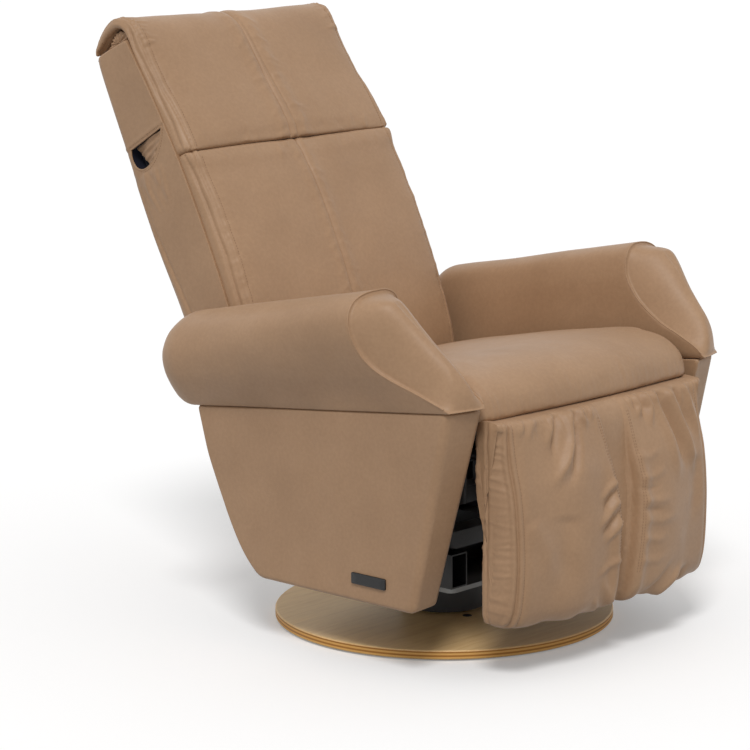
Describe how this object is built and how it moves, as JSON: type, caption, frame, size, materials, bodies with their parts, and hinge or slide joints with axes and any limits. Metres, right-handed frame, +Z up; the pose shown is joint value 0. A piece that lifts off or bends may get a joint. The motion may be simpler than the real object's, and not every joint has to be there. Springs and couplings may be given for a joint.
{
  "type": "reflexology chair",
  "caption": "Upholstered swivel armchair on a round plywood disc, with a powered reclining back and a powered lifting leg rest.",
  "frame": {"origin": "on the floor, on the swivel axis, at the middle of the round floor pad", "axes": "+Z up; the sitter looks along -Y; +X to the sitter's left"},
  "size_m": [0.8268, 1.0192, 1.0509],
  "materials": {
    "leather": "tan, lightly grained, soft sheen",
    "oak_plywood": "clear satin lacquer",
    "frame_plywood": "sanded, unlacquered",
    "floor_rubber": "matt",
    "bearing_nylon": "natural nylon",
    "elastic_webbing": "woven elastic strap",
    "pocket_cloth": "thin lining cloth",
    "zinc_steel": "zinc plated",
    "bright_steel": "ground",
    "black_plastic": "fine texture",
    "drive_aluminium": "satin anodised",
    "black_steel": "black powder coat"
  },
  "bodies": {
    "base": {"floor_pad": "floor_rubber", "base_disc": "oak_plywood", "base_column": "black_steel", "base_bolts": "black_steel", "swivel_bush": "bearing_nylon", "thrust_washer": "bearing_nylon"},
    "chassis": {"swivel_spindle": "bright_steel", "swivel_plate": "zinc_steel", "column_collar": "black_steel", "front_cross_tube": "black_steel", "rear_cross_tube": "black_steel", "seat_posts": "black_steel", "seat_front_tube": "black_steel", "seat_middle_tube": "black_steel", "seat_rear_tube": "black_steel", "seat_webbing": "elastic_webbing", "seat_cushion": "leather", "rear_lining": "pocket_cloth", "panel_screws": "bright_steel", "control_unit": "black_plastic", "mains_inlet": "black_plastic", "back_drive_housing": "drive_aluminium", "leg_drive_housing": "drive_aluminium", "back_drive_motor": "black_plastic", "leg_drive_motor": "black_plastic", "back_drive_clamp": "black_steel", "leg_drive_clamp": "black_steel", "left_chassis_rail": "black_steel", "right_chassis_rail": "black_steel", "left_seat_side_tube": "black_steel", "right_seat_side_tube": "black_steel", "left_side_panel": "leather", "right_side_panel": "leather", "left_arm_pad": "leather", "right_arm_pad": "leather", "left_back_pivot_plate": "black_steel", "right_back_pivot_plate": "black_steel", "left_legrest_hinge_arm": "black_steel", "right_legrest_hinge_arm": "black_steel"},
    "back": {"back_torque_tube": "black_steel", "back_lever": "black_steel", "back_rails": "frame_plywood", "back_webbing": "elastic_webbing", "back_cover": "leather", "back_pad": "leather", "head_pad": "leather", "left_back_rib": "frame_plywood", "right_back_rib": "frame_plywood", "left_side_pocket": "pocket_cloth", "right_side_pocket": "pocket_cloth"},
    "leg_rest": {"legrest_pad": "leather", "legrest_board": "frame_plywood", "legrest_pins": "bright_steel", "legrest_lever": "black_steel", "left_legrest_bracket": "black_steel", "right_legrest_bracket": "black_steel"},
    "back_drive_slider": {"back_drive_rod": "bright_steel", "back_drive_pin": "bright_steel"},
    "leg_drive_slider": {"leg_drive_rod": "bright_steel", "leg_drive_pin": "bright_steel"}
  },
  "joints": [
    {"name": "swivel", "type": "hinge", "parent": "base", "child": "chassis", "pos_m": [0, 0, 0.089], "axis": [0, 0, 1], "continuous": true},
    {"name": "back_recline", "type": "hinge", "parent": "chassis", "child": "back", "pos_m": [0, 0.236, 0.396], "axis": [-1, 0, 0], "range_deg": [0, 35]},
    {"name": "leg_rest_lift", "type": "hinge", "parent": "chassis", "child": "leg_rest", "pos_m": [0, -0.34104, 0.39605], "axis": [-1, 0, 0], "range_deg": [0, 75]},
    {"name": "back_drive_travel", "type": "slide", "parent": "chassis", "child": "back_drive_slider", "axis": [0, -1, 0], "range_m": [0, 0.06257]},
    {"name": "leg_drive_travel", "type": "slide", "parent": "chassis", "child": "leg_drive_slider", "axis": [0, -1, 0], "range_m": [0, 0.10279]}
  ],
  "couplings": [
    {"joint": "back_drive_travel", "follows": "back_recline", "m_per_rad": 0.10226},
    {"joint": "leg_drive_travel", "follows": "leg_rest_lift", "m_per_rad": 0.078447}
  ]
}
